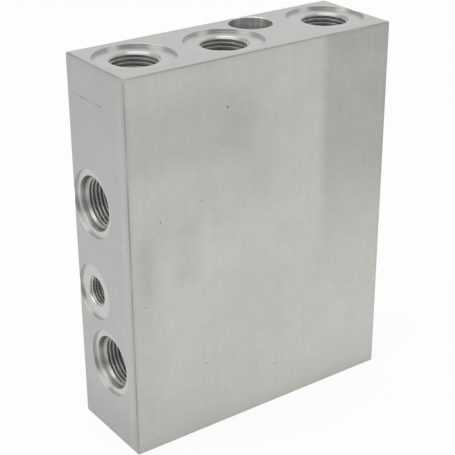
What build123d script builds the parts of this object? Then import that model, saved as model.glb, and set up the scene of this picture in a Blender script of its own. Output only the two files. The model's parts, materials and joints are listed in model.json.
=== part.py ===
from build123d import *
from math import radians, tan
import os

# Hydraulic manifold block, millimetres. One solid bar of aluminium, drilled and tapped.
# Origin: centre of the bottom face. +Z is up. The long plain face looks along -Y, the end
# face with three ports looks along -X, and the top face has three ports and a plain bore.

# ---- block ----
block_width = 133.2     # along X
block_depth = 44.0      # along Y
block_height = 168.5    # along Z
edge_break = 0.5        # 45 degree break on every outer edge

# ---- drilling ----
drill_point_angle = 118.0
overshoot = 2.0         # how far a cutter stands out of the face that it cuts

# ---- G 1/2 stud ports, in the top face ----
top_spotface = 34.0
top_spotface_depth = 1.3
top_mouth = 21.2        # outer end of the 45 degree countersink
top_tap_drill = 19.0
top_bore_depth = 24.0

# ---- 7/8-14 O-ring ports, in the end face ----
end_spotface = 29.8
end_spotface_depth = 1.1
end_mouth = 23.9        # outer end of the tapered O-ring seat
end_seat_end = 22.6     # inner end of the tapered seat
end_seat_depth = 3.5
end_tap_drill = 20.5
end_bore_depth = 22.0

# ---- G 1/4 gauge port, in the end face ----
gauge_spotface = 25.0
gauge_spotface_depth = 1.0
gauge_mouth = 13.9
gauge_tap_drill = 11.8
gauge_bore_depth = 17.0

# ---- plain bore, in the top face ----
plain_bore_diameter = 19.0
plain_bore_chamfer = 0.4
plain_bore_depth = 30.0

# ---- drilled passages that join the ports ----
main_passage = 14.0
branch_passage = 10.0
gauge_passage = 5.0
branch_offset = (4.0, 1.5)  # moves the branch past the full thread of the upper end port

# ---- where the ports are, from the left end, the front face and the bottom ----
top_port_places = [(19.2, 22.9), (60.1, 19.7), (116.0, 23.1)]   # X, Y
plain_bore_place = (84.0, 33.8)                                 # X, Y
upper_end_port = (29.0, 107.6)                                  # Y, Z
gauge_port = (31.3, 66.0)                                       # Y, Z
lower_end_port = (21.0, 35.8)                                   # Y, Z


def turned_cutter(outline, depth):
    """A turned cutter on the Z axis, mouth at Z 0: (radius, depth) points, then a drill point."""
    drill_radius = outline[-1][0]
    point_height = drill_radius / tan(radians(drill_point_angle / 2))
    points = [(0, overshoot), (outline[0][0], overshoot)]
    points += [(radius, -level) for radius, level in outline]
    points += [(drill_radius, -depth), (0, -depth - point_height)]
    return revolve(Plane.XZ * make_face(Polyline(points, close=True)), Axis.Z)


def stud_port(spotface, spotface_depth, mouth, tap_drill, bore_depth):
    """Port for a parallel stud thread: flat spotface, 45 degree countersink and tapping bore."""
    countersink_depth = spotface_depth + (mouth - tap_drill) / 2
    outline = [
        (spotface / 2, 0),
        (spotface / 2, spotface_depth),
        (mouth / 2, spotface_depth),
        (tap_drill / 2, countersink_depth),
    ]
    return turned_cutter(outline, bore_depth)


def o_ring_port():
    """Port with a tapered O-ring seat under its spotface, then a 45 degree lead-in and tapping bore."""
    lead_in_depth = end_seat_depth + (end_seat_end - end_tap_drill) / 2
    outline = [
        (end_spotface / 2, 0),
        (end_spotface / 2, end_spotface_depth),
        (end_mouth / 2, end_spotface_depth),
        (end_seat_end / 2, end_seat_depth),
        (end_tap_drill / 2, lead_in_depth),
    ]
    return turned_cutter(outline, end_bore_depth)


def plain_bore():
    """Smooth blind bore with a small chamfer at its mouth."""
    radius = plain_bore_diameter / 2
    outline = [(radius + plain_bore_chamfer, 0), (radius, plain_bore_chamfer)]
    return turned_cutter(outline, plain_bore_depth)


def passage(diameter, start, end):
    """Straight drilled passage inside the block, from a starting level to an ending one."""
    return Pos(Z=-start) * turned_cutter([(diameter / 2, 0)], end - start)


def from_top(cutter, place):
    """Sets a cutter into the top face."""
    x, y = place
    return Pos(x - block_width / 2, y - block_depth / 2, block_height) * cutter


def from_end(cutter, place):
    """Sets a cutter into the end face at the left."""
    y, z = place
    return Pos(-block_width / 2, y - block_depth / 2, z) * Rot(Y=-90) * cutter


def port_cutters():
    """The six threaded ports and the plain bore."""
    top_port = stud_port(top_spotface, top_spotface_depth, top_mouth, top_tap_drill, top_bore_depth)
    small_port = stud_port(
        gauge_spotface, gauge_spotface_depth, gauge_mouth, gauge_tap_drill, gauge_bore_depth
    )
    cutters = [from_top(top_port, place) for place in top_port_places]
    cutters += [from_end(o_ring_port(), place) for place in (upper_end_port, lower_end_port)]
    cutters += [from_end(small_port, gauge_port), from_top(plain_bore(), plain_bore_place)]
    return cutters


def passage_cutters():
    """Passages: the lower end port feeds top ports 2 and 3, and the upper one feeds top port 1."""
    first, second, third = top_port_places
    branch_place = (first[0] + branch_offset[0], first[1] + branch_offset[1])
    down_to_lower = block_height - lower_end_port[1]
    down_to_upper = block_height - upper_end_port[1]
    top_start = top_bore_depth - overshoot
    end_start = end_bore_depth - overshoot
    gauge_start = gauge_bore_depth - overshoot
    return [
        from_top(passage(main_passage, top_start, down_to_lower), second),
        from_top(passage(main_passage, top_start, down_to_lower), third),
        from_top(passage(branch_passage, top_start, down_to_upper), branch_place),
        from_end(passage(main_passage, end_start, third[0]), lower_end_port),
        from_end(passage(gauge_passage, gauge_start, third[0]), gauge_port),
    ]


def manifold_block():
    """The finished block: a bar with its edges broken, less every port and passage."""
    bar = Box(
        block_width, block_depth, block_height, align=(Align.CENTER, Align.CENTER, Align.MIN)
    )
    bar = chamfer(bar.edges(), edge_break)
    return bar - (port_cutters() + passage_cutters())


os.makedirs("parts", exist_ok=True)
block = manifold_block()
export_step(block, "parts/manifold_block.step")
print("volume", round(block.volume), "mm3, box", block.bounding_box().size)
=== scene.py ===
# %% [markdown]
# # A hydraulic manifold block
# The real object is one bar of aluminium. It is milled square, its edges are broken with a fine
# chamfer, and ports are bored, faced and tapped into its top and one end. Oil passages inside join
# the ports. Nothing is added to it: every shape that shows is metal taken away.
#
# So the mesh is made as the block is. First comes a bar, then the cutters that a machinist would
# use, and last the surface, because a mill, a boring tool and a tap each leave metal different.

from math import cos, pi, radians, sin, tan
import json
import time

import bmesh
import bpy
from mathutils import Matrix, Vector


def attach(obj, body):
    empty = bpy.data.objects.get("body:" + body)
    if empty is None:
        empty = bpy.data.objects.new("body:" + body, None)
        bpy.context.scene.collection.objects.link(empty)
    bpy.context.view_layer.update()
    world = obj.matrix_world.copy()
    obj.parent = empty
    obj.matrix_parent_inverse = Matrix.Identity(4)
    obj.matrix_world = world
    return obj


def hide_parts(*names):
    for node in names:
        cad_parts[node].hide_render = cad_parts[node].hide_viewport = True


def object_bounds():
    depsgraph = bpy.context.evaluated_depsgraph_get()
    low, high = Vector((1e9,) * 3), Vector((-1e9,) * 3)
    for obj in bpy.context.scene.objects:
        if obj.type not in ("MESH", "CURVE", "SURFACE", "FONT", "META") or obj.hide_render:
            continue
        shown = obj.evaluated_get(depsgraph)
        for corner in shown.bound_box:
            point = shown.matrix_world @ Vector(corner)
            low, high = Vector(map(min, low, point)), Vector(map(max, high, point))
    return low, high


MM = 0.001

clock = time.time()
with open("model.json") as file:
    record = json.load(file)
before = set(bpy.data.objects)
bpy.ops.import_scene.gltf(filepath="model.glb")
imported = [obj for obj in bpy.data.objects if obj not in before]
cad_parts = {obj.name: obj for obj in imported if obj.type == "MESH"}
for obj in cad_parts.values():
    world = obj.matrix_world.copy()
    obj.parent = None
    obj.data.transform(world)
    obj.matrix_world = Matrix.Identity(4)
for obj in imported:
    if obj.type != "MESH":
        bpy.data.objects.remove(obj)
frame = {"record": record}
cad_low, cad_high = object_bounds()
mounts = {mount["name"]: mount for mount in frame["record"]["mounts"]}
print("block", [round((h - l) / MM, 1) for l, h in zip(cad_low, cad_high)], "mm")
print("mounts", ", ".join(mounts))

# %% [markdown]
# ## A finish for each tool
# A mill, a boring tool, a tap and a peening point leave metal that looks different, so every face
# of the mesh carries the name of the tool that made it. The top and the one end have their own set,
# because rings and streaks follow the axis of the port that they are in. The faces could be painted
# by hand at the end, but a cutter that brings its finish along never misses one.

# %% Finishes, and putting meshes in the scene
SIDES = ("top", "end")
MILLED = ("milled_end", "milled_side", "milled_top")  # the faces square to X, to Y and to Z
FINISHES = ["milled_side", "milled_end", "milled_top", "broken_edge", "peened"]
FINISHES += [f"{tool}_{side}" for tool in ("turned", "bored", "tapped") for side in SIDES]


def new_object(name, data, finishes=()):
    """Puts mesh data into the scene, with one material slot for each finish."""
    thing = bpy.data.objects.new(name, data)
    bpy.context.scene.collection.objects.link(thing)
    for finish in finishes:
        data.materials.append(bpy.data.materials.get(finish) or bpy.data.materials.new(finish))
    return thing


def to_data(shape, name):
    """Turns an edited mesh into mesh data with its faces all looking outwards."""
    bmesh.ops.recalc_face_normals(shape, faces=shape.faces)
    data = bpy.data.meshes.new(name)
    shape.to_mesh(data)
    shape.free()
    return data


print("finishes", len(FINISHES), "-", ", ".join(FINISHES))

# %% [markdown]
# ## The bar
# A bar could be a scaled cube, but a real one never has razor edges: a 0.5 mm break runs along all
# twelve, and it is what catches the light. A bevel on the cube's edges gives it, in one flat facet
# as a chamfer tool leaves it.

# %% Bar with broken edges
EDGE_BREAK = 0.5 * MM
SQUARE = 0.9  # a face whose normal is this near to an axis is one of the six large ones


def bar():
    shape = bmesh.new()
    bmesh.ops.create_cube(shape, size=1)
    bmesh.ops.scale(shape, verts=shape.verts, vec=cad_high - cad_low)
    bmesh.ops.translate(shape, verts=shape.verts, vec=(cad_low + cad_high) / 2)
    bmesh.ops.bevel(shape, geom=shape.edges[:], offset=EDGE_BREAK, segments=1, affect="EDGES")
    for face in shape.faces:
        square_to = [abs(n) > SQUARE for n in face.normal]
        finish = MILLED[square_to.index(True)] if any(square_to) else "broken_edge"
        face.material_index = FINISHES.index(finish)
    return new_object("block", to_data(shape, "block"), FINISHES)


block = bar()
print("bar faces", len(block.data.polygons))

# %% [markdown]
# ## Turned cutters
# Every port is round, so each cutter is an outline spun about its axis: in from the air, down the
# spotface wall, across the flat, down the countersink, along the tapping bore and into the 118
# degree point of the drill. Blender's Screw modifier could spin it. Here the rings are written out,
# because each stretch of the outline then carries the finish of the tool that cuts it.

# %% Spin an outline into a cutter
DRILL_POINT = radians(118 / 2)
TURN_STEPS = 96  # flat strips round a port. The taps' strips straddle them, half a step on
AIR = 2.0  # how far a cutter stands out of the face, in mm


def spin(outline, steps, side):
    """Closed mesh from (radius, depth, tool) points in mm. Depth grows into the metal, along -Z."""
    shape = bmesh.new()
    turns = [2 * pi * i / steps for i in range(steps)]
    rings = []
    for radius, depth, _ in outline:
        points = [(radius * MM * cos(turn), radius * MM * sin(turn), -depth * MM) for turn in turns]
        rings.append([shape.verts.new(point) for point in points])
    shape.faces.new(rings[0])
    for upper, lower, (_, _, tool) in zip(rings, rings[1:], outline[1:]):
        for i in range(steps):
            j = (i + 1) % steps
            face = shape.faces.new((upper[i], lower[i], lower[j], upper[j]))
            face.material_index = FINISHES.index(f"{tool}_{side}")
    radius, depth, _ = outline[-1]
    tip = shape.verts.new((0, 0, -(depth + radius / tan(DRILL_POINT)) * MM))
    for i in range(steps):
        face = shape.faces.new((rings[-1][i], tip, rings[-1][(i + 1) % steps]))
        face.material_index = FINISHES.index(f"bored_{side}")
    return to_data(shape, "cutter")


print("a 19 mm bore is cut in strips", round(19 * pi / TURN_STEPS, 2), "mm wide")

# %% [markdown]
# ## The ports and what fits them
# The three top ports take a G 1/2 stud with a bonded seal, so each has a wide flat for the seal.
# The two large end ports take an O-ring fitting: under the flat is a steep tapered seat for the
# ring. The small one is a G 1/4 gauge point. The fourth hole in the top is plain. The places come
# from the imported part's own mounts, and the outlines repeat its dimensions in millimetres.

# %% Port outlines
RIM = 0.12  # the tiny turned break where two cuts meet
SEAT_END = (11.3, 3.5, "turned")  # the foot of the O-ring's tapered seat
LEAD_IN_END = (10.25, 4.55, "turned")  # where the thread's own countersink meets the bore


def stud_port(spotface, flat_depth, mouth, bore, depth):
    lead_end = flat_depth + (mouth - bore) / 2
    return [
        (spotface / 2 + RIM, -AIR, "turned"),
        (spotface / 2 + RIM, 0, "turned"),
        (spotface / 2, RIM, "turned"),
        (spotface / 2, flat_depth, "turned"),
        (mouth / 2, flat_depth, "turned"),
        (bore / 2, lead_end, "turned"),
        (bore / 2, depth, "bored"),
    ]


TOP_PORT = stud_port(spotface=34.0, flat_depth=1.3, mouth=21.2, bore=19.0, depth=24.0)
GAUGE_PORT = stud_port(spotface=25.0, flat_depth=1.0, mouth=13.9, bore=11.8, depth=17.0)
O_RING_PORT = stud_port(spotface=29.8, flat_depth=1.1, mouth=23.9, bore=20.5, depth=22.0)
O_RING_PORT[5:6] = [SEAT_END, LEAD_IN_END]  # a taper and a lead-in, where a stud port has one cone
PLAIN_BORE = [(9.9, -AIR, "bored"), (9.9, 0, "bored"), (9.5, 0.4, "bored"), (9.5, 30.0, "bored")]
OUTLINES = {
    "top_port_1": TOP_PORT,
    "top_port_2": TOP_PORT,
    "top_port_3": TOP_PORT,
    "plain_bore": PLAIN_BORE,
    "upper_end_port": O_RING_PORT,
    "gauge_port": GAUGE_PORT,
    "lower_end_port": O_RING_PORT,
}


def side_of(name):
    return "top" if mounts[name]["axis"][2] > 0.5 else "end"


def out_of_face(name):
    """Matrix that sets a cutter on its mount's axis, with the outer face at depth 0."""
    x, y, z = mounts[name]["pos_m"]
    if side_of(name) == "top":
        return Matrix.Translation((x, y, cad_high.z))
    return Matrix.Translation((cad_low.x, y, z)) @ Matrix.Rotation(-pi / 2, 4, "Y")


for name in OUTLINES:
    print(name, [round(v / MM, 1) for v in out_of_face(name).translation])

# %% [markdown]
# ## Drilled passages
# The passages are drilled on from the bottoms of the ports, so only their mouths can be seen. They
# still matter to the look: light that falls into an open bore is lost in them, and that is why the
# ports look deep. The same cutter shape does for them, started inside its port.

# %% Passage cutters
BRANCH_OFFSET = (4.0, 1.5, 0)  # moves the branch past the thread of the upper end port, in mm
MAIN, BRANCH, GAUGE = 14, 10, 5  # drill diameters in mm
FROM_TOP_PORT, FROM_END_PORT, FROM_GAUGE_PORT = 22, 20, 15  # starting depths, inside each port


def passage(diameter, start, end):
    return [(diameter / 2, start, "bored"), (diameter / 2, end, "bored")]


def passages():
    """Outlines, each with the matrix that places it and the side it is drilled from."""
    first, second, third = (out_of_face(f"top_port_{i}") for i in (1, 2, 3))
    upper, gauge, lower = map(out_of_face, ("upper_end_port", "gauge_port", "lower_end_port"))
    to_lower = (cad_high.z - lower.translation.z) / MM
    to_upper = (cad_high.z - upper.translation.z) / MM
    across = (third.translation.x - cad_low.x) / MM
    branch = Matrix.Translation(Vector(BRANCH_OFFSET) * MM) @ first
    return [
        (passage(MAIN, FROM_TOP_PORT, to_lower), second, "top"),
        (passage(MAIN, FROM_TOP_PORT, to_lower), third, "top"),
        (passage(BRANCH, FROM_TOP_PORT, to_upper), branch, "top"),
        (passage(MAIN, FROM_END_PORT, across), lower, "end"),
        (passage(GAUGE, FROM_GAUGE_PORT, across), gauge, "end"),
    ]


for ((radius, start, _), (_, end, _)), _, side in passages():
    print(f"{2 * radius:.0f} mm passage from the {side}, {start} to {end:.1f} mm deep")

# %% [markdown]
# ## Port numbers
# A shop marks each port with a dot-peen: a hard point is driven into the metal, once for each dot
# of a simple figure. The numbers here are plain ones, 01 to 06. Text objects would give smooth
# strokes, which a peen never leaves, so each figure is written out as rows of dots.

# %% Figures made of dots
DOTS = {  # seven rows of four dots, one hexadecimal figure to a row
    "0": "6999996",
    "1": "2622227",
    "2": "691248F",
    "3": "E11611E",
    "4": "26AAF22",
    "5": "F8E1196",
    "6": "688E996",
}
DOTS_IN_ROW = 4
FIGURE_STEP = 4.6  # from one figure to the next, in dots
DOT_ACROSS, DOT_DOWN = 0.72, 0.86  # spacing of the dots, in mm
NUMBERS = [  # text, its face, the corner above its first figure as it is read, and its size
    ("01", "top", (-64.8, 21.0), 0.6),
    ("02", "top", (-23.6, 20.2), 0.95),
    ("03", "top", (29.9, 18.4), 0.75),
    ("04", "end", (-11.7, 99.4), 1.05),
    ("05", "end", (-4.9, 75.3), 1.1),
    ("06", "end", (-10.0, 59.5), 1.15),
]


def dots(text, size):
    """Places of a number's dots in mm, to the right of and below its first corner."""
    for figure, letter in enumerate(text):
        for row, line in enumerate(DOTS[letter]):
            for column in range(DOTS_IN_ROW):
                if int(line, 16) >> (DOTS_IN_ROW - 1 - column) & 1:
                    right = (figure * FIGURE_STEP + column) * DOT_ACROSS * size
                    yield right, row * DOT_DOWN * size


for text, side, _, size in NUMBERS:
    print(text, "on the", side, "-", len(list(dots(text, size))), "dots")

# %% [markdown]
# ## Dents
# A bump texture would do for dots this small, but a dent is a real shape, so each one is a little
# ball that bites into the face. The one chance dent in the front face is made the same way.

# %% Peen marks
DOT_BALL, DOT_BITE = 0.34, 0.24  # radius of the ball and how deep it goes, in mm
PIT_BALL = 0.42  # radius in mm. The ball's middle is on the face, so it bites as deep
PIT = (-18.9, 148.0)  # a chance dent in the front face, x and z in mm


def peen_marks():
    shape = bmesh.new()
    for text, side, (across, up), size in NUMBERS:
        ball = DOT_BALL * size * MM  # less than half the spacing, so no two balls touch
        lift = (DOT_BALL - DOT_BITE) * size * MM
        for right, down in dots(text, size):
            if side == "top":
                place = ((across + right) * MM, (up - down) * MM, cad_high.z + lift)
            else:
                place = (cad_low.x - lift, (across - right) * MM, (up - down) * MM)
            spot = Matrix.Translation(place)
            bmesh.ops.create_icosphere(shape, subdivisions=2, radius=ball, matrix=spot)
    for face in shape.faces:
        face.material_index = FINISHES.index("peened")
    spot = Matrix.Translation((PIT[0] * MM, cad_low.y, PIT[1] * MM))
    pit = bmesh.ops.create_icosphere(shape, subdivisions=2, radius=PIT_BALL * MM, matrix=spot)
    for face in {face for corner in pit["verts"] for face in corner.link_faces}:
        face.material_index = FINISHES.index("milled_side")
    return to_data(shape, "peen_marks")


marks = peen_marks()
print("peen marks", len(marks.polygons), "faces")

# %% [markdown]
# ## Cutting
# A Boolean modifier takes the cutters from the bar. Its exact solver is slower than the fast one,
# but it stands cutters that cross each other inside the block, and it brings each cutter's finish
# over to the metal that the cutter leaves. Where two cuts nearly meet it can leave two corners in
# one spot, so these are welded, and the mesh is checked for open edges after each cut.

# %% Take cutters from the block
WELD = 0.0003 * MM  # points closer than this are one point


def cut(cutters):
    """Removes a list of objects from the block, and deletes them."""
    tray = bpy.data.collections.new("cutters")
    for cutter in cutters:
        tray.objects.link(cutter)
    boolean = block.modifiers.new("cut", "BOOLEAN")
    boolean.operation = "DIFFERENCE"
    boolean.solver = "EXACT"
    boolean.operand_type = "COLLECTION"
    boolean.collection = tray
    boolean.material_mode = "TRANSFER"
    cut_block = block.evaluated_get(bpy.context.evaluated_depsgraph_get())
    result = bpy.data.meshes.new_from_object(cut_block)
    block.modifiers.clear()
    block.data = result
    for cutter in cutters:
        bpy.data.objects.remove(cutter)
    bpy.data.collections.remove(tray)
    shape = bmesh.new()
    shape.from_mesh(block.data)
    bmesh.ops.remove_doubles(shape, verts=shape.verts, dist=WELD)
    bmesh.ops.dissolve_degenerate(shape, edges=shape.edges, dist=WELD)
    shape.to_mesh(block.data)
    open_edges = sum(len(edge.link_faces) != 2 for edge in shape.edges)
    seconds = round(time.time() - clock)
    print("faces", len(shape.faces), "open edges", open_edges, "at", seconds, "s")
    low, high = (Vector(map(pick, zip(*(v.co for v in shape.verts)))) for pick in (min, max))
    print("outside the bar by", [round(v / MM, 3) for v in (*(cad_low - low), *(high - cad_high))])
    shape.free()


def placed(data, matrix):
    cutter = new_object("cutter", data, FINISHES)
    cutter.matrix_world = matrix
    return cutter


PASSAGE_STEPS = 64  # coarser than a port, since little of it shows

ports = [placed(spin(OUTLINES[n], TURN_STEPS, side_of(n)), out_of_face(n)) for n in OUTLINES]
drillings = [placed(spin(line, PASSAGE_STEPS, side), place) for line, place, side in passages()]
cut(ports + drillings + [placed(marks, Matrix())])

# %% [markdown]
# ## The form of a thread
# A thread is a groove that climbs one pitch in each turn. It could be a bump texture, but in these
# ports the light runs along real crests, and a mesh of the part should have them too. The groove is
# a V with a narrow flat floor and corners a little softened, as a worn tap cuts it.

# %% One pitch of a tap
CORE_ROOM = 0.25  # how far the tap's core stays off the bore, in mm
FLOOR_SHARE = 0.07  # half the flat floor of the groove, as a share of the pitch
SOFT_SHARE = 0.05  # how much of its corners is taken off, as a share of the pitch


def thread_profile(pitch, bore, crest, half_angle):
    """One pitch of the tap, as (share of the pitch, radius) points with softened corners."""
    flat = FLOOR_SHARE * pitch
    soft = SOFT_SHARE * pitch
    foot = flat + (crest - bore) / 2 * tan(half_angle)
    one_flank = [
        (flat - soft / 2, crest / 2),
        (flat + soft / 2, crest / 2 - soft),
        (foot, bore / 2),
        (foot + CORE_ROOM * tan(half_angle), bore / 2 - CORE_ROOM),
    ]
    both = [(-offset, radius) for offset, radius in reversed(one_flank)] + one_flank
    return [(0.5 + offset / pitch, radius) for offset, radius in both]


trial = thread_profile(pitch=1.814, bore=19.0, crest=20.955, half_angle=radians(27.5))
print("a G 1/2 groove in shares of a pitch", [round(share, 2) for share, _ in trial])

# %% [markdown]
# ## A tap
# The cutter is a tap: a rod whose rings are one long spiral of that V. Its last turns shrink, as
# the lead of a real tap does, so the thread runs out before the bottom of the bore. The rod's core
# is thinner than the bore, so only the V touches metal. Blender's Screw modifier could make such a
# spiral, but its ends would still have to be closed and faded, so the rings are written out.

# %% Tap cutter
LEAD = 1.6  # over how many pitches the thread runs out


def tap(side, pitch, bore, crest, half_angle, start, end):
    """Threaded rod from one depth to another, in mm, right-handed, as a closed mesh."""
    profile = thread_profile(pitch, bore, crest, half_angle)
    core = bore / 2 - CORE_ROOM
    lead = LEAD * pitch
    turns = int((end - start) / pitch) + 1  # the last turn is bare core and ends in the bore
    shape = bmesh.new()
    rows = []
    for turn in range(turns + 1):
        for share, radius in profile:
            row = []
            for i in range(TURN_STEPS):
                depth = start + (turn - 1 + share + i / TURN_STEPS) * pitch
                fade = min(1, max(0, (end - depth) / lead)) if 0 < turn < turns else 0
                size = (core + (radius - core) * fade) * MM
                angle = -2 * pi * (i + 0.5) / TURN_STEPS
                row.append(shape.verts.new((size * cos(angle), size * sin(angle), -depth * MM)))
            rows.append(row)
    climb = len(profile)
    for j in range(len(rows) - 1):
        for i in range(TURN_STEPS - 1):
            shape.faces.new((rows[j][i], rows[j][i + 1], rows[j + 1][i + 1], rows[j + 1][i]))
    for j in range(len(rows) - 1 - climb):
        shape.faces.new((rows[j][-1], rows[j + climb][0], rows[j + climb + 1][0], rows[j + 1][-1]))
    first_loop = rows[0] + [row[0] for row in reversed(rows[1 : climb + 1])]
    last_loop = rows[-1] + [row[-1] for row in reversed(rows[-climb - 1 : -1])]
    for loop in (first_loop, last_loop):
        hub = shape.verts.new((0, 0, loop[0].co.z))
        for a, b in zip(loop, loop[1:] + loop[:1]):
            shape.faces.new((a, b, hub))
    for face in shape.faces:
        face.material_index = FINISHES.index(f"tapped_{side}")
    open_edges = sum(len(edge.link_faces) != 2 for edge in shape.edges)
    print("tap", turns - 1, "turns, open edges", open_edges)
    return to_data(shape, "tap")


# %% [markdown]
# ## Tapping the ports
# Each tap starts in the air above its bore and stops short of the drill's point, which would give
# it a slanting wall to cut. The sizes are those of the threads, over their crests, in millimetres.

# %% Threads
WHITWORTH, UNIFIED = radians(27.5), radians(30)  # half the angle of the V
G_HALF = dict(pitch=1.814, bore=19.0, crest=20.955, half_angle=WHITWORTH, start=-1.2, end=19)
O_RING = dict(pitch=1.814, bore=20.5, crest=22.225, half_angle=UNIFIED, start=-0.5, end=18.3)
G_QUARTER = dict(pitch=1.337, bore=11.8, crest=13.157, half_angle=WHITWORTH, start=-1, end=14.2)
THREADS = {
    "top_port_1": G_HALF,
    "top_port_2": G_HALF,
    "top_port_3": G_HALF,
    "upper_end_port": O_RING,
    "gauge_port": G_QUARTER,
    "lower_end_port": O_RING,
}
cut([placed(tap(side_of(name), **thread), out_of_face(name)) for name, thread in THREADS.items()])

# %% [markdown]
# ## Smooth walls, sharp corners
# The round walls are many flat strips, and smooth shading hides their joins. Corners between cuts
# are real, so any edge that turns by more than 28 degrees stays sharp.

# %% Shading, and the block's place in the frame
SHARP_FROM = radians(28)

block.data.shade_smooth()
block.data.set_sharp_from_angle(angle=SHARP_FROM)
block.data.calc_loop_triangles()
print("triangles", len(block.data.loop_triangles))

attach(block, "root")
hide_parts("manifold_block")

# %% [markdown]
# ## Building shader trees
# Materials are trees of nodes. A few small helpers keep them readable: one adds a node and wires
# its inputs, and the others do sums and mixes. They could be written out in every material, but
# then the few lines that make each finish what it is would be lost among them.

# %% Node helpers
def add(tree, kind, wires, **settings):
    """New node in a tree. Wires maps an input's name or number to a socket or to a value."""
    node = tree.nodes.new(kind)
    for key, value in settings.items():
        setattr(node, key, value)
    for key, value in wires.items():
        if isinstance(value, bpy.types.NodeSocket):
            tree.links.new(value, node.inputs[key])
        else:
            node.inputs[key].default_value = value
    return node


def math(tree, operation, *values):
    return add(tree, "ShaderNodeMath", dict(enumerate(values)), operation=operation).outputs[0]


def vector(tree, operation, *values, out=0):
    node = add(tree, "ShaderNodeVectorMath", dict(enumerate(values)), operation=operation)
    return node.outputs[out]


def ramp(tree, value, low, high, to_low=0.0, to_high=1.0):
    """Carries a value from one range to another, held at both ends, with a soft start and stop."""
    wires = {"Value": value, "From Min": low, "From Max": high, "To Min": to_low, "To Max": to_high}
    return add(tree, "ShaderNodeMapRange", wires, interpolation_type="SMOOTHSTEP").outputs[0]


def mix_sum(tree, *shares):
    """Weighted sum of values, given as (value, weight) pairs."""
    total = 0.0
    for value, weight in shares:
        total = math(tree, "MULTIPLY_ADD", value, weight, total)
    return total


def blend(tree, factor, a, b):
    """Mixes two colours. The mix node's colour sockets are numbers 6 and 7."""
    return add(tree, "ShaderNodeMix", {0: factor, 6: a, 7: b}, data_type="RGBA").outputs[2]


def noise(tree, dimensions="3D", **wires):
    return add(tree, "ShaderNodeTexNoise", wires, noise_dimensions=dimensions).outputs[0]


def tell(name, tree):
    print(name, "-", len(tree.nodes), "nodes")


# %% [markdown]
# ## Node groups
# An effect that several finishes share, such as clouds or tool lines, is a node group: a small tree
# with named inputs and outputs that is built once and placed in each material with values of its
# own. A Python function could lay the same nodes into each tree, but then a reader of the finished
# file would find loose copies and not one named thing.

# %% Groups: opening and using one
SOCKETS = {"Vector": "NodeSocketVector", "Float": "NodeSocketFloat"}


def open_group(name, inputs, outputs):
    """New node group. Inputs and outputs map a socket's name to Vector or Float."""
    tree = bpy.data.node_groups.new(name, "ShaderNodeTree")
    for direction, sockets in (("INPUT", inputs), ("OUTPUT", outputs)):
        for socket, kind in sockets.items():
            tree.interface.new_socket(socket, in_out=direction, socket_type=SOCKETS[kind])
    return tree, tree.nodes.new("NodeGroupInput").outputs, tree.nodes.new("NodeGroupOutput").inputs


def use(tree, name, **wires):
    """Places a node group in a tree and returns its outputs."""
    return add(tree, "ShaderNodeGroup", wires, node_tree=bpy.data.node_groups[name]).outputs


print("kinds of group socket:", ", ".join(SOCKETS))

# %% [markdown]
# ## Cloudy metal
# Plain milled aluminium is never one grey. Oxide, oil and handling leave clouds a few centimetres
# wide, with smaller smudges inside them. One noise would repeat its own scale, so two are mixed.

# %% Group: clouds
SMUDGES = 5.3  # how many smudges fit across a cloud


def clouds_group():
    inputs = {"Place": "Vector", "Size": "Float"}
    tree, given, result = open_group("clouds", inputs, {"Cloud": "Float"})
    scale = math(tree, "DIVIDE", 1.0, given["Size"])
    wide = noise(tree, Vector=given["Place"], Scale=scale, Detail=2.0)
    finer = math(tree, "MULTIPLY", scale, SMUDGES)
    close = noise(tree, Vector=given["Place"], Scale=finer, Detail=4.0)
    both = mix_sum(tree, (wide, 0.7), (close, 0.3))
    tree.links.new(ramp(tree, both, 0.36, 0.64), result["Cloud"])
    tell("clouds", tree)


clouds_group()

# %% [markdown]
# ## Mottle
# Between the clouds and the tool's lines, the metal is finely mottled, a few millimetres to a spot,
# where the crystals of the bar take the cut a little differently. It is one plain noise. It is a
# group all the same, because three faces share it.

# %% Group: mottle
def mottle_group():
    inputs = {"Place": "Vector", "Scale": "Float"}
    tree, given, result = open_group("mottle", inputs, {"Mottle": "Float"})
    spots = noise(tree, Vector=given["Place"], Scale=given["Scale"], Detail=4.0)
    tree.links.new(spots, result["Mottle"])
    tell("mottle", tree)


mottle_group()

# %% [markdown]
# ## Lines from a mill
# A milling cutter or a belt leaves fine lines side by side. They are a noise drawn out long in one
# direction. Stretch gives how many lines fit in a metre along each axis: few along the lines and
# thousands across them. Two widths are mixed, since the wide ones are what the eye finds from far.

# %% Group: tool lines
WIDE_LINES = 0.09  # how many of the wide lines there are to each fine one


def tool_lines_group():
    inputs = {"Place": "Vector", "Stretch": "Vector"}
    tree, given, result = open_group("tool_lines", inputs, {"Fine": "Float", "Wide": "Float"})
    drawn = vector(tree, "MULTIPLY", given["Place"], given["Stretch"])
    fine = noise(tree, Vector=drawn, Scale=1.0, Detail=3.0, Roughness=0.6)
    wide = noise(tree, Vector=drawn, Scale=WIDE_LINES, Detail=2.0)
    tree.links.new(fine, result["Fine"])
    tree.links.new(ramp(tree, wide, 0.3, 0.7), result["Wide"])
    tell("tool_lines", tree)


tool_lines_group()

# %% [markdown]
# ## Rings from a turning tool
# A tool that feeds steadily while it turns leaves rings: on a flat they lie inside each other, and
# on a wall one above the other. Both depend only on how far the tool has gone along its way, so the
# noise here has one dimension. A wave texture would give rings too, but all of them alike.

# %% Group: rings
def rings_group():
    inputs = {"Way": "Float", "Scale": "Float"}
    tree, given, result = open_group("rings", inputs, {"Ring": "Float"})
    tree.links.new(noise(tree, "1D", W=given["Way"], Scale=given["Scale"]), result["Ring"])
    tell("rings", tree)


rings_group()

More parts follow.
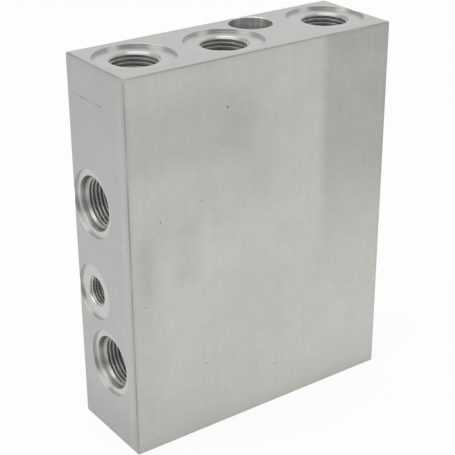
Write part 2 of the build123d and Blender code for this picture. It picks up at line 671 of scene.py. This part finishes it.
# %% [markdown]
# ## Where a point lies in its port
# Turning rings and thread shading need to know how far a point is from its port's axis. The group
# measures the distance to each axis of one side and keeps the smallest, less that port's bore
# radius: 0 is the bore's own wall, and the rings of a spotface are a few millimetres out.

# %% Groups: port place
FAR_OFF = 1.0  # in metres, farther than any port


def port_place_group(side):
    outputs = {"Off Wall": "Float", "Depth": "Float", "Along": "Float"}
    tree, given, result = open_group(f"port_place_{side}", {"Place": "Vector"}, outputs)
    flatten = (1, 1, 0) if side == "top" else (0, 1, 1)
    flat_place = vector(tree, "MULTIPLY", given["Place"], flatten)
    nearest = FAR_OFF
    for name in (n for n in OUTLINES if side_of(n) == side):
        centre = [a * b for a, b in zip(mounts[name]["pos_m"], flatten)]
        away = vector(tree, "DISTANCE", flat_place, centre, out=1)
        off_wall = math(tree, "SUBTRACT", away, OUTLINES[name][-1][0] * MM)
        nearest = math(tree, "MINIMUM", off_wall, nearest)
    axes = add(tree, "ShaderNodeSeparateXYZ", {0: given["Place"]}).outputs
    if side == "top":
        depth = math(tree, "SUBTRACT", cad_high.z, axes[2])
    else:
        depth = math(tree, "SUBTRACT", axes[0], cad_low.x)
    tree.links.new(nearest, result["Off Wall"])
    tree.links.new(depth, result["Depth"])
    tree.links.new(math(tree, "SUBTRACT", depth, nearest), result["Along"])
    tell(f"port_place_{side}", tree)


for side in SIDES:
    port_place_group(side)

# %% [markdown]
# ## Wear near an edge
# Faces dull towards their edges, where hands and benches touch them. The bar's middle and size are
# known, so the nearest edge needs no baked map. Of the three distances to the bar's faces the
# smallest is to the face the point is on, and the middle one is the way to the nearest edge.

# %% Group: edge wear
def edge_wear_group():
    inputs = {"Place": "Vector", "Reach": "Float"}
    tree, given, result = open_group("edge_wear", inputs, {"Worn": "Float"})
    middle = (cad_low + cad_high) / 2
    half = (cad_high - cad_low) / 2
    outward = vector(tree, "ABSOLUTE", vector(tree, "SUBTRACT", given["Place"], middle))
    inward = vector(tree, "SUBTRACT", half, outward)
    x, y, z = add(tree, "ShaderNodeSeparateXYZ", {0: inward}).outputs
    pairs = [math(tree, "MAXIMUM", a, b) for a, b in ((x, y), (y, z), (x, z))]
    to_edge = math(tree, "MINIMUM", math(tree, "MINIMUM", pairs[0], pairs[1]), pairs[2])
    tree.links.new(ramp(tree, to_edge, 0.0, given["Reach"], 1.0, 0.0), result["Worn"])
    tell("edge_wear", tree)


edge_wear_group()

# %% [markdown]
# ## Marks in one place
# A few marks belong to this block alone: a stain, a rubbed patch, a scratch, a pit. The same soft
# boxes also lay painted reflection and painted shade on the milled faces. Each is a soft box round
# a centre. Half is how far it reaches on each axis, and Soft is how wide its rim fades on that
# axis, since a pass of the mill ends crisply on one side and runs out slowly on another.

# %% Group: patch
def patch_group():
    inputs = {name: "Vector" for name in ("Place", "Centre", "Half", "Soft")}
    tree, given, result = open_group("patch", inputs, {"Mask": "Float"})
    offset = vector(tree, "ABSOLUTE", vector(tree, "SUBTRACT", given["Place"], given["Centre"]))
    inside = vector(tree, "DIVIDE", vector(tree, "SUBTRACT", given["Half"], offset), given["Soft"])
    mask = 1.0
    for reach in add(tree, "ShaderNodeSeparateXYZ", {0: inside}).outputs:
        mask = math(tree, "MULTIPLY", mask, ramp(tree, reach, 0.0, 1.0))
    tree.links.new(mask, result["Mask"])
    tell("patch", tree)


def patches(tree, place, marks):
    """Sum of soft patches, from (x span, y span, z span, soft rims, weight) rows in mm."""
    total = 0.0
    for *spans, rims, weight in marks:
        centre = [(low + high) / 2 * MM for low, high in spans]
        half = [(high - low) / 2 * MM for low, high in spans]
        soft = [rim * MM for rim in rims]
        wires = {"Place": place, "Centre": centre, "Half": half, "Soft": soft}
        total = math(tree, "MULTIPLY_ADD", use(tree, "patch", **wires)["Mask"], weight, total)
    return total


patch_group()

# %% [markdown]
# ## Opening a finish
# Every finish is bare metal, so each starts the same way: an empty tree, a Principled shader with
# Metallic at 1, and the place of the point on the block. Bare metal takes its whole look from its
# colour, from how sharp its reflections are and from tiny slopes, and those are what differ.

# %% Start of a metal
def open_metal(finish):
    material = bpy.data.materials[finish]
    material.use_nodes = True
    tree = material.node_tree
    shader = tree.nodes["Principled BSDF"].inputs
    shader["Metallic"].default_value = 1.0
    place = tree.nodes.new("ShaderNodeTexCoord").outputs["Object"]
    return tree, shader, place


def raise_bumps(tree, shader, height, distance, corner=0.0):
    """Slopes from a height. A corner radius makes sharp corners catch light as blunt ones do."""
    wires = {"Height": height, "Distance": distance}
    if corner:
        wires["Normal"] = add(tree, "ShaderNodeBevel", {"Radius": corner}, samples=6).outputs[0]
    tree.links.new(add(tree, "ShaderNodeBump", wires).outputs[0], shader["Normal"])


print("faces to finish", len(block.data.polygons))

# %% [markdown]
# ## Marks and painted light on the milled faces
# The broad face carries the longest story: the mill went over it in passes, and painted reflection
# makes the upper left and the right darker and the lower half brighter. The end has a scratch near
# its top. Both faces are painted darker at their foot, as painted shade. An image could hold all
# this. Rows of soft boxes do it at any size, and each can be moved alone.

# %% Marks on the milled faces
FRONT = (-110, 10)  # y span that takes in the front face only, with room for any soft rim
LEFT = (-160, 10)  # the same for the x span and the end with the ports
BROAD_MARKS_AND_PAINTED_LIGHT = [  # x span, y span, z span, soft rims along x, y and z, weight
    ((-80, 2), FRONT, (120, 163), (14, 9, 15), -0.18),  # painted reflection: darker, upper left
    ((29, 90), FRONT, (58, 240), (5, 9, 50), -0.27),  # painted reflection: darker on the right
    ((3, 32), FRONT, (86, 240), (6, 9, 24), 0.07),  # lighter pass beside it
    ((-64, 80), FRONT, (4, 112), (16, 9, 24), 0.13),  # painted reflection: brighter lower half
    ((-66, -53), FRONT, (68, 106), (6, 9, 9), -0.15),  # two smears near the left edge
    ((-50, -30), FRONT, (72, 106), (8, 9, 9), -0.15),
    ((-29, -12), FRONT, (88, 102), (3, 9, 3), -0.05),  # a rubbed patch near the middle
    ((-80, 80), FRONT, (-9, 8), (5, 9, 6), -0.12),  # painted shade along the foot
]
END_MARKS_AND_PAINTED_SHADE = [
    (LEFT, (-20.5, -15), (-20, 190), (9, 2, 9), 0.12),  # a lighter line beside the front edge
    (LEFT, (-30, 30), (-20, 24), (9, 5, 18), -0.26),  # painted shade along the foot
    (LEFT, (-30, 6), (136, 190), (9, 8, 12), -0.08),  # a little darker near the top, to the front
]
SPECKS = ((-18.9, 148), (-31.7, 110.7), (-52, 106.3), (-60.3, 70.3), (6.5, 19.8), (-30.6, 33.3))
BROAD_NICKS = [
    ((x - 0.5, x + 0.5), FRONT, (z - 0.6, z + 0.6), (0.5, 9, 0.5), 0.8) for x, z in SPECKS
]
END_NICKS = [  # one long scratch, deepest in the middle, that ends in a small dig
    (LEFT, (-5, 20), (152.5, 153.1), (9, 1, 0.3), 0.35),
    (LEFT, (6, 13), (152.5, 153.1), (9, 2, 0.3), 0.4),
    (LEFT, (-4.6, -3.2), (152.2, 153.4), (9, 0.6, 0.5), 0.6),
]
print("marks", len(BROAD_MARKS_AND_PAINTED_LIGHT) + len(END_MARKS_AND_PAINTED_SHADE), "nicks", len(BROAD_NICKS) + len(END_NICKS))

# %% [markdown]
# ## Milled faces
# The large faces were milled and then handled. They are satin: reflections are there, but smeared.
# Their fine lines run up the sides and along the top. Each is a mix of a darker and a lighter
# metal, and clouds, lines, mottle, wear, marks, painted reflection and painted shade all push the
# mix one way or the other.

# %% Finish: milled faces
BROAD_LIGHT, BROAD_DARK = (0.63, 0.627, 0.598, 1), (0.35, 0.35, 0.33, 1)
# the end's pair is darker than the broad face's: part its own tone, part painted shade
END_LIGHT, END_DARK = (0.54, 0.544, 0.532, 1), (0.37, 0.374, 0.365, 1)
TOP_LIGHT, TOP_DARK = (0.595, 0.60, 0.59, 1), (0.45, 0.456, 0.446, 1)
NICK = (0.08, 0.08, 0.075, 1)
NICK_DEPTH = -5.0  # as a multiple of the height of the lines
UP_THE_SIDE = (5000, 5000, 60)
ALONG_THE_TOP = (60, 5000, 5000)
CLOUD_SIZE = 0.045  # in metres
MOTTLE_SCALE = 420.0  # spots to a metre
WEAR_REACH = 0.003  # how far in from an edge the wear goes, in metres
PLAIN_SHADE, PLAIN_ROUGHNESS = 0.33, 0.28  # before the effects are added
LINE_HEIGHT = 0.00001  # in metres


def milled(finish, light, dark, stretch, marks=(), nicks=()):
    tree, shader, place = open_metal(finish)
    cloud = use(tree, "clouds", Place=place, Size=CLOUD_SIZE)["Cloud"]
    lines = use(tree, "tool_lines", Place=place, Stretch=stretch)
    worn = use(tree, "edge_wear", Place=place, Reach=WEAR_REACH)["Worn"]
    mottle = use(tree, "mottle", Place=place, Scale=MOTTLE_SCALE)["Mottle"]
    shares = [(cloud, 0.16), (lines["Fine"], 0.14), (lines["Wide"], 0.04), (mottle, 0.24)]
    shares.append((worn, -0.08))
    shade = math(tree, "ADD", mix_sum(tree, *shares), PLAIN_SHADE)
    height = lines["Fine"]
    # the marks also carry painted reflection and painted shade
    if marks:
        shade = math(tree, "ADD", shade, patches(tree, place, marks))
    colour = blend(tree, shade, dark, light)
    if nicks:
        nick = patches(tree, place, nicks)
        colour = blend(tree, nick, colour, NICK)
        height = math(tree, "MULTIPLY_ADD", nick, NICK_DEPTH, height)
    tree.links.new(colour, shader["Base Color"])
    rough = mix_sum(tree, (cloud, 0.08), (lines["Fine"], 0.08), (worn, 0.1))
    tree.links.new(math(tree, "ADD", rough, PLAIN_ROUGHNESS), shader["Roughness"])
    raise_bumps(tree, shader, height, LINE_HEIGHT)
    tell(finish, tree)


milled("milled_side", BROAD_LIGHT, BROAD_DARK, UP_THE_SIDE, BROAD_MARKS_AND_PAINTED_LIGHT, BROAD_NICKS)
milled("milled_end", END_LIGHT, END_DARK, UP_THE_SIDE, END_MARKS_AND_PAINTED_SHADE, END_NICKS)
milled("milled_top", TOP_LIGHT, TOP_DARK, ALONG_THE_TOP)

# %% [markdown]
# ## Broken edges
# The chamfer is cut last and never polished. It is a little rougher than the faces, and its colour
# is painted darker than theirs, as painted shade. Here and there a knock has left it lighter.
# Clouds two centimetres long stand for the knocks.

# %% Finish: broken edges
# the darker of the two colours is painted shade on the chamfer
EDGE_SHADE, EDGE_KNOCKED = (0.32, 0.33, 0.325, 1), (0.42, 0.42, 0.405, 1)
KNOCK_SIZE, KNOCK_HEIGHT = 0.02, 0.00003  # in metres


def broken_edge():
    tree, shader, place = open_metal("broken_edge")
    knocks = use(tree, "clouds", Place=place, Size=KNOCK_SIZE)["Cloud"]
    tree.links.new(blend(tree, knocks, EDGE_SHADE, EDGE_KNOCKED), shader["Base Color"])
    tree.links.new(ramp(tree, knocks, 0, 1, 0.5, 0.4), shader["Roughness"])
    raise_bumps(tree, shader, knocks, KNOCK_HEIGHT)
    tell("broken_edge", tree)


broken_edge()

# %% [markdown]
# ## Turned seats
# A spotface is cut by a tool that turns about the port's axis, so its lines are rings, laid along
# the tool's path from the rim inwards and down. Fresh turned metal is brighter than the milled
# faces round it. Below the flat the seats are painted darker, as painted shade in the recess, with
# painted reflection tints, here a little blue and there a little tan.

# %% Finish: turned seats
TURNED_DARK, TURNED_LIGHT = (0.50, 0.505, 0.495, 1), (0.62, 0.622, 0.61, 1)
# painted shade for the seats below the flat, with painted reflection tints of blue and tan
SEAT_SHADE_BLUE, SEAT_SHADE_TAN = (0.33, 0.36, 0.365, 1), (0.42, 0.40, 0.365, 1)
SEAT_SHADE_STARTS, SEAT_SHADE_FULL = 0.0014, 0.0022  # depths below the face, in metres
FINE_RINGS, WIDE_RINGS = 4000.0, 900.0  # rings to a metre
RING_HEIGHT, SEAT_CORNER = 0.000006, 0.00015  # in metres


def turned(side):
    tree, shader, place = open_metal(f"turned_{side}")
    port = use(tree, f"port_place_{side}", Place=place)
    cloud = use(tree, "clouds", Place=place, Size=0.012)["Cloud"]
    fine = use(tree, "rings", Way=port["Along"], Scale=FINE_RINGS)["Ring"]
    wide = use(tree, "rings", Way=port["Along"], Scale=WIDE_RINGS)["Ring"]
    rings = mix_sum(tree, (fine, 0.5), (wide, 0.5))
    bare = blend(tree, mix_sum(tree, (rings, 0.7), (cloud, 0.3)), TURNED_DARK, TURNED_LIGHT)
    # below the flat: painted shade with painted reflection tints
    seat_shade = blend(tree, cloud, SEAT_SHADE_BLUE, SEAT_SHADE_TAN)
    below_flat = ramp(tree, port["Depth"], SEAT_SHADE_STARTS, SEAT_SHADE_FULL)
    tree.links.new(blend(tree, below_flat, bare, seat_shade), shader["Base Color"])
    tree.links.new(ramp(tree, rings, 0.2, 0.8, 0.24, 0.34), shader["Roughness"])
    raise_bumps(tree, shader, rings, RING_HEIGHT, corner=SEAT_CORNER)
    tell(f"turned_{side}", tree)


for side in SIDES:
    turned(side)

# %% [markdown]
# ## Bored walls
# The boring tool feeds slowly down the hole and leaves fine rings one above the other. Their slopes
# throw light up and down the wall, which is why a bored hole looks lit far below its rim. Chips
# dragged out along the wall leave upright streaks across the rings.

# %% Finish: bored walls
BORED_DARK, BORED_LIGHT = (0.5, 0.5, 0.485, 1), (0.76, 0.76, 0.745, 1)
FEED_RINGS = 5000.0  # rings to a metre
FEED_HEIGHT, BORE_CORNER = 0.00008, 0.0002  # in metres
STREAKS = {"top": (700, 700, 25), "end": (25, 700, 700)}  # drawn out along the bores


def bored(side):
    tree, shader, place = open_metal(f"bored_{side}")
    depth = use(tree, f"port_place_{side}", Place=place)["Depth"]
    feed = use(tree, "rings", Way=depth, Scale=FEED_RINGS)["Ring"]
    streaks = use(tree, "tool_lines", Place=place, Stretch=STREAKS[side])["Fine"]
    shade = mix_sum(tree, (feed, 0.3), (ramp(tree, streaks, 0.35, 0.65), 0.7))
    tree.links.new(blend(tree, shade, BORED_DARK, BORED_LIGHT), shader["Base Color"])
    tree.links.new(ramp(tree, streaks, 0.3, 0.7, 0.42, 0.3), shader["Roughness"])
    raise_bumps(tree, shader, feed, FEED_HEIGHT, corner=BORE_CORNER)
    tell(f"bored_{side}", tree)


for side in SIDES:
    bored(side)

# %% [markdown]
# ## Threads
# A tapped thread is bright on its crests, which are the bored wall left between the grooves, and
# dark in its grooves, from oil and swarf dust and from painted shade. The distance off the bore's
# wall tells one from the other.

# %% Finish: tapped threads
CREST = (0.68, 0.672, 0.64, 1)
GROOVE_STARTS, GROOVE_FULL = 0.0002, 0.0008  # how far out from the bore's wall, in metres
GROOVE_OIL_AND_SHADE = {  # oil and painted shade in the grooves, darker in the end ports
    "top": ((0.34, 0.365, 0.365, 1), (0.48, 0.465, 0.43, 1)),
    "end": ((0.22, 0.235, 0.235, 1), (0.32, 0.315, 0.295, 1)),
}
OIL_HEIGHT, THREAD_CORNER = 0.00001, 0.0002  # in metres


def tapped(side):
    tree, shader, place = open_metal(f"tapped_{side}")
    port = use(tree, f"port_place_{side}", Place=place)
    groove = ramp(tree, port["Off Wall"], GROOVE_STARTS, GROOVE_FULL)
    cloud = use(tree, "clouds", Place=place, Size=0.006)["Cloud"]
    # the grooves' colour is oil and painted shade
    oil_and_shade = blend(tree, cloud, *GROOVE_OIL_AND_SHADE[side])
    tree.links.new(blend(tree, groove, CREST, oil_and_shade), shader["Base Color"])
    tree.links.new(ramp(tree, groove, 0, 1, 0.34, 0.4), shader["Roughness"])
    raise_bumps(tree, shader, cloud, OIL_HEIGHT, corner=THREAD_CORNER)
    tell(f"tapped_{side}", tree)


for side in SIDES:
    tapped(side)

# %% [markdown]
# ## Peened dots
# The point bruises the metal and leaves each dot dull and a little lighter than the face. The
# clouds here are smaller than a dot, so no two dots come out alike.

# %% Finish: peened dots
BRUISE_DARK, BRUISE_LIGHT = (0.45, 0.455, 0.445, 1), (0.66, 0.66, 0.645, 1)


def peened():
    tree, shader, place = open_metal("peened")
    bruise = use(tree, "clouds", Place=place, Size=0.0006)["Cloud"]
    tree.links.new(blend(tree, bruise, BRUISE_DARK, BRUISE_LIGHT), shader["Base Color"])
    tree.links.new(ramp(tree, bruise, 0, 1, 0.5, 0.4), shader["Roughness"])
    tell("peened", tree)


peened()

# %% [markdown]
# ## Floor
# The block stands on a plain pale floor. To the camera the floor is almost all white paper, with a
# share of real paint left in it to take the block's shadow. In the metal's reflections it carries a
# painted pool of light: glowing white, strongest by the block and weaker farther off.

# %% Floor
FLOOR_REACH = 6  # from its middle to each side, in metres
FLOOR_GAP = 0.0002  # how far it lies below the block's foot, in metres
PAINT = (0.8, 0.8, 0.8, 1)
PAPER_WHITE = (1, 1, 1, 1)


def floor():
    data = bpy.data.meshes.new("floor")
    r = FLOOR_REACH
    data.from_pydata([(-r, -r, 0), (r, -r, 0), (r, r, 0), (-r, r, 0)], [], [(0, 1, 2, 3)])
    plane = new_object("floor", data, ["floor_paint"])
    plane.location.z = cad_low.z - FLOOR_GAP
    data.materials[0].use_nodes = True
    tree = data.materials[0].node_tree
    tree.nodes.clear()
    path = tree.nodes.new("ShaderNodeLightPath").outputs
    place = tree.nodes.new("ShaderNodeTexCoord").outputs["Object"]
    paint = add(tree, "ShaderNodeBsdfDiffuse", {"Color": PAINT})
    white = add(tree, "ShaderNodeEmission", {"Color": PAPER_WHITE, "Strength": 1.0})
    away = vector(tree, "LENGTH", place, out=1)
    # painted pool of light: the share of glowing white seen in reflections, more near the block
    painted_pool = ramp(tree, away, 0.15, 0.6, 0.75, 0.3)
    seen = math(tree, "MULTIPLY", path["Is Camera Ray"], ramp(tree, away, 0.3, 2.5, 0.91, 1.0))
    share = math(tree, "MULTIPLY_ADD", path["Is Glossy Ray"], painted_pool, seen)
    mixed = add(tree, "ShaderNodeMixShader", {0: share, 1: paint.outputs[0], 2: white.outputs[0]})
    add(tree, "ShaderNodeOutputMaterial", {0: mixed.outputs[0]})
    print("floor", 2 * r, "m square,", round(-plane.location.z / MM, 2), "mm below the block")


floor()

# %% [markdown]
# ## Room
# Metal shows the room around it, so the room needs a dark side or the block looks like paper. It is
# bright behind the block and dim behind the camera. Only the camera sees it as plain white.

# %% Room
DIM_SIDE = Vector((-0.58, -0.81, 0.0))
BRIGHT_WALL, DIM_WALL = 0.9, 0.5


def room():
    world = bpy.data.worlds.new("room")
    bpy.context.scene.world = world
    world.use_nodes = True
    tree = world.node_tree
    tree.nodes.clear()
    path = tree.nodes.new("ShaderNodeLightPath").outputs
    way = tree.nodes.new("ShaderNodeTexCoord").outputs["Generated"]
    towards_dim = vector(tree, "DOT_PRODUCT", way, DIM_SIDE, out=1)
    level = ramp(tree, towards_dim, -0.6, 1.0, BRIGHT_WALL, DIM_WALL)
    walls = add(tree, "ShaderNodeBackground", {"Color": PAPER_WHITE, "Strength": level})
    white = add(tree, "ShaderNodeBackground", {"Color": PAPER_WHITE, "Strength": 1.0})
    wires = {0: path["Is Camera Ray"], 1: walls.outputs[0], 2: white.outputs[0]}
    mixed = add(tree, "ShaderNodeMixShader", wires)
    add(tree, "ShaderNodeOutputWorld", {0: mixed.outputs[0]})
    print("room from", BRIGHT_WALL, "behind the block to", DIM_WALL, "behind the camera")


room()

# %% [markdown]
# ## Lamps
# Three large soft boxes light the block: one overhead for the top and the bores, one from the left
# for the end, one low from the right for the broad face. They are big and near rather than strong,
# because a small lamp would show as a hard white spot on every turned rim.

# %% Lamps
WARM_WHITE = (1.0, 0.97, 0.93)


def softbox(name, direction, distance, width, height, brightness):
    """Area lamp that faces the block. Brightness 1 looks white in a mirror."""
    lamp = bpy.data.lights.new(name, "AREA")
    lamp.shape = "RECTANGLE"
    lamp.size, lamp.size_y = width, height
    lamp.energy = brightness * pi * width * height
    lamp.color = WARM_WHITE
    holder = bpy.data.objects.new(name, lamp)
    bpy.context.scene.collection.objects.link(holder)
    towards = Vector(direction).normalized()
    holder.location = (cad_low + cad_high) / 2 + towards * distance
    holder.rotation_mode = "QUATERNION"
    holder.rotation_quaternion = towards.to_track_quat("Z", "Y")
    print(name, round(lamp.energy, 1), "W at", distance, "m")


softbox("overhead_softbox", (-0.44, -0.16, 0.88), 1.1, 1.3, 1.3, 1.0)
softbox("left_softbox", (-0.95, 0.1, 0.45), 1.2, 0.8, 1.0, 0.9)
softbox("front_softbox", (0.45, -0.85, 0.5), 1.4, 0.7, 0.9, 1.1)

# %% [markdown]
# ## Camera
# The camera looks down on the corner between the broad face and the end with the ports, so that all
# three machined faces show. The lens is long and stands well back, because a short one close by
# would splay the block's edges. Everything is in focus.

# %% Camera
CAMERA_PLACE = (-0.28578, -0.39575, 0.31144)
CAMERA_TURN = (64.757, 0.26, -35.615)  # degrees about x, y and z
LENS, SENSOR = 96.5, 36  # in mm

camera = bpy.data.cameras.new("camera")
camera.lens = LENS
camera.sensor_width = SENSOR
holder = bpy.data.objects.new("camera", camera)
bpy.context.scene.collection.objects.link(holder)
holder.location = CAMERA_PLACE
holder.rotation_euler = [radians(turn) for turn in CAMERA_TURN]
bpy.context.scene.camera = holder
bpy.context.scene.view_settings.view_transform = "Standard"
to_block = (cad_low + cad_high) / 2 - Vector(CAMERA_PLACE)
print("camera", round(to_block.length, 2), "m from the middle of the block")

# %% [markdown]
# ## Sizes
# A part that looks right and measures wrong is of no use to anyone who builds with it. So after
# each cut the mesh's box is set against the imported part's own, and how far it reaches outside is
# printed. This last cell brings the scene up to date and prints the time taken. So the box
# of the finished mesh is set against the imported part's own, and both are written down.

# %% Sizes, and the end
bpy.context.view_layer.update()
print("script", round(time.time() - clock), "s")
